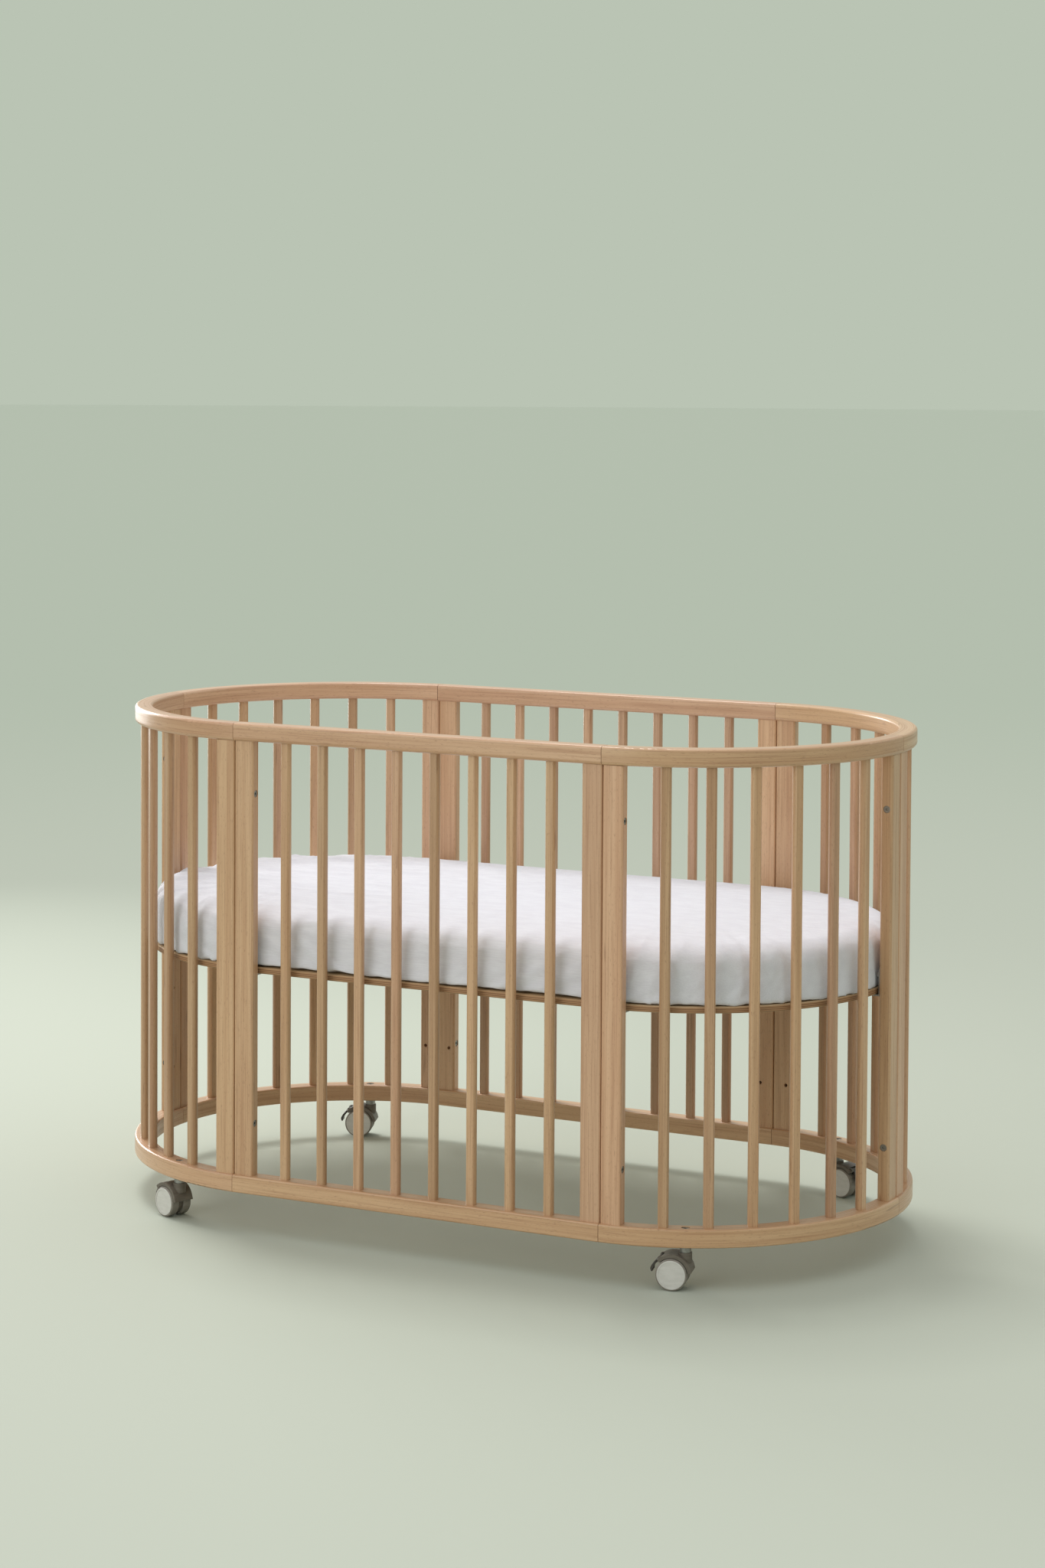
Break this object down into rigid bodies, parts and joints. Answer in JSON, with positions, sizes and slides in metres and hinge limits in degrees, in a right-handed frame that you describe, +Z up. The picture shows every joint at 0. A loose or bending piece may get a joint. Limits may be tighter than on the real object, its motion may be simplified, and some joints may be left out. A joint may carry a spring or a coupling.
{
  "type": "baby crib",
  "caption": "Oval wooden baby crib with slatted sides bolted from curved and straight sections, a sheeted mattress on a plywood board, and braked swivel casters.",
  "frame": {"origin": "on the floor under the middle of the crib", "axes": "+X along the crib, +Y towards the back long side, +Z up"},
  "size_m": [1.375, 0.74, 0.836],
  "materials": {
    "rail_wood": "clear satin lacquer",
    "post_wood": "clear satin lacquer",
    "slat_wood": "clear satin lacquer",
    "plywood": "lacquered birch plywood",
    "steel": "zinc plated",
    "mattress_foam": "quilted cover",
    "sheet_cotton": "plain white cotton",
    "caster_body": "satin moulded nylon",
    "pedal_plastic": "satin moulded nylon",
    "wheel_rubber": "matt soft tread",
    "cap_plastic": "satin"
  },
  "bodies": {
    "crib_frame": {"top_rail_front": "rail_wood", "top_rail_front_right": "rail_wood", "top_rail_back_right": "rail_wood", "top_rail_back": "rail_wood", "top_rail_back_left": "rail_wood", "top_rail_front_left": "rail_wood", "bottom_rail_front": "rail_wood", "bottom_rail_front_right": "rail_wood", "bottom_rail_back_right": "rail_wood", "bottom_rail_back": "rail_wood", "bottom_rail_back_left": "rail_wood", "bottom_rail_front_left": "rail_wood", "posts_front": "post_wood", "posts_front_right": "post_wood", "posts_back_right": "post_wood", "posts_back": "post_wood", "posts_back_left": "post_wood", "posts_front_left": "post_wood", "slats_front": "slat_wood", "slats_front_right": "slat_wood", "slats_back_right": "slat_wood", "slats_back": "slat_wood", "slats_back_left": "slat_wood", "slats_front_left": "slat_wood", "connector_bolts": "steel", "connector_sleeves": "steel", "mattress_board": "plywood", "board_brackets": "steel", "board_bolts": "steel", "mattress": "mattress_foam", "fitted_sheet": "sheet_cotton", "caster_stems": "steel"},
    "caster_front_left": {"housing_front_left": "caster_body", "axle_front_left": "steel"},
    "brake_front_left": {"pedal_front_left": "pedal_plastic"},
    "wheel_a_front_left": {"wheel_a_front_left": "wheel_rubber", "cap_a_front_left": "cap_plastic"},
    "wheel_b_front_left": {"wheel_b_front_left": "wheel_rubber", "cap_b_front_left": "cap_plastic"},
    "caster_front_right": {"housing_front_right": "caster_body", "axle_front_right": "steel"},
    "brake_front_right": {"pedal_front_right": "pedal_plastic"},
    "wheel_a_front_right": {"wheel_a_front_right": "wheel_rubber", "cap_a_front_right": "cap_plastic"},
    "wheel_b_front_right": {"wheel_b_front_right": "wheel_rubber", "cap_b_front_right": "cap_plastic"},
    "caster_back_right": {"housing_back_right": "caster_body", "axle_back_right": "steel"},
    "brake_back_right": {"pedal_back_right": "pedal_plastic"},
    "wheel_a_back_right": {"wheel_a_back_right": "wheel_rubber", "cap_a_back_right": "cap_plastic"},
    "wheel_b_back_right": {"wheel_b_back_right": "wheel_rubber", "cap_b_back_right": "cap_plastic"},
    "caster_back_left": {"housing_back_left": "caster_body", "axle_back_left": "steel"},
    "brake_back_left": {"pedal_back_left": "pedal_plastic"},
    "wheel_a_back_left": {"wheel_a_back_left": "wheel_rubber", "cap_a_back_left": "cap_plastic"},
    "wheel_b_back_left": {"wheel_b_back_left": "wheel_rubber", "cap_b_back_left": "cap_plastic"}
  },
  "joints": [
    {"name": "swivel_front_left", "type": "hinge", "parent": "crib_frame", "child": "caster_front_left", "pos_m": [-0.45835, -0.32586, 0.06], "axis": [0, 0, 1], "continuous": true},
    {"name": "spin_a_front_left", "type": "hinge", "parent": "caster_front_left", "child": "wheel_a_front_left", "pos_m": [-0.47596, -0.31875, 0.025], "axis": [-0.3746, -0.9272, 0], "continuous": true},
    {"name": "spin_b_front_left", "type": "hinge", "parent": "caster_front_left", "child": "wheel_b_front_left", "pos_m": [-0.47596, -0.31875, 0.025], "axis": [-0.3746, -0.9272, 0], "continuous": true},
    {"name": "brake_front_left", "type": "hinge", "parent": "caster_front_left", "child": "brake_front_left", "pos_m": [-0.4928, -0.31194, 0.04825], "axis": [-0.3746, -0.9272, 0], "range_deg": [-16, 0]},
    {"name": "swivel_front_right", "type": "hinge", "parent": "crib_frame", "child": "caster_front_right", "pos_m": [0.45835, -0.32586, 0.06], "axis": [0, 0, 1], "continuous": true},
    {"name": "spin_a_front_right", "type": "hinge", "parent": "caster_front_right", "child": "wheel_a_front_right", "pos_m": [0.43983, -0.33014, 0.025], "axis": [0.225, -0.9744, 0], "continuous": true},
    {"name": "spin_b_front_right", "type": "hinge", "parent": "caster_front_right", "child": "wheel_b_front_right", "pos_m": [0.43983, -0.33014, 0.025], "axis": [0.225, -0.9744, 0], "continuous": true},
    {"name": "brake_front_right", "type": "hinge", "parent": "caster_front_right", "child": "brake_front_right", "pos_m": [0.42214, -0.33422, 0.04825], "axis": [0.225, -0.9744, 0], "range_deg": [-16, 0]},
    {"name": "swivel_back_right", "type": "hinge", "parent": "crib_frame", "child": "caster_back_right", "pos_m": [0.45835, 0.32586, 0.06], "axis": [0, 0, 1], "continuous": true},
    {"name": "spin_a_back_right", "type": "hinge", "parent": "caster_back_right", "child": "wheel_a_back_right", "pos_m": [0.47652, 0.32031, 0.025], "axis": [0.2924, 0.9563, 0], "continuous": true},
    {"name": "spin_b_back_right", "type": "hinge", "parent": "caster_back_right", "child": "wheel_b_back_right", "pos_m": [0.47652, 0.32031, 0.025], "axis": [0.2924, 0.9563, 0], "continuous": true},
    {"name": "brake_back_right", "type": "hinge", "parent": "caster_back_right", "child": "brake_back_right", "pos_m": [0.49388, 0.315, 0.04825], "axis": [0.2924, 0.9563, 0], "range_deg": [-16, 0]},
    {"name": "swivel_back_left", "type": "hinge", "parent": "crib_frame", "child": "caster_back_left", "pos_m": [-0.45835, 0.32586, 0.06], "axis": [0, 0, 1], "continuous": true},
    {"name": "spin_a_back_left", "type": "hinge", "parent": "caster_back_left", "child": "wheel_a_back_left", "pos_m": [-0.4762, 0.31937, 0.025], "axis": [0.342, -0.9397, 0], "continuous": true},
    {"name": "spin_b_back_left", "type": "hinge", "parent": "caster_back_left", "child": "wheel_b_back_left", "pos_m": [-0.4762, 0.31937, 0.025], "axis": [0.342, -0.9397, 0], "continuous": true},
    {"name": "brake_back_left", "type": "hinge", "parent": "caster_back_left", "child": "brake_back_left", "pos_m": [-0.49327, 0.31315, 0.04825], "axis": [0.342, -0.9397, 0], "range_deg": [-16, 0]}
  ]
}
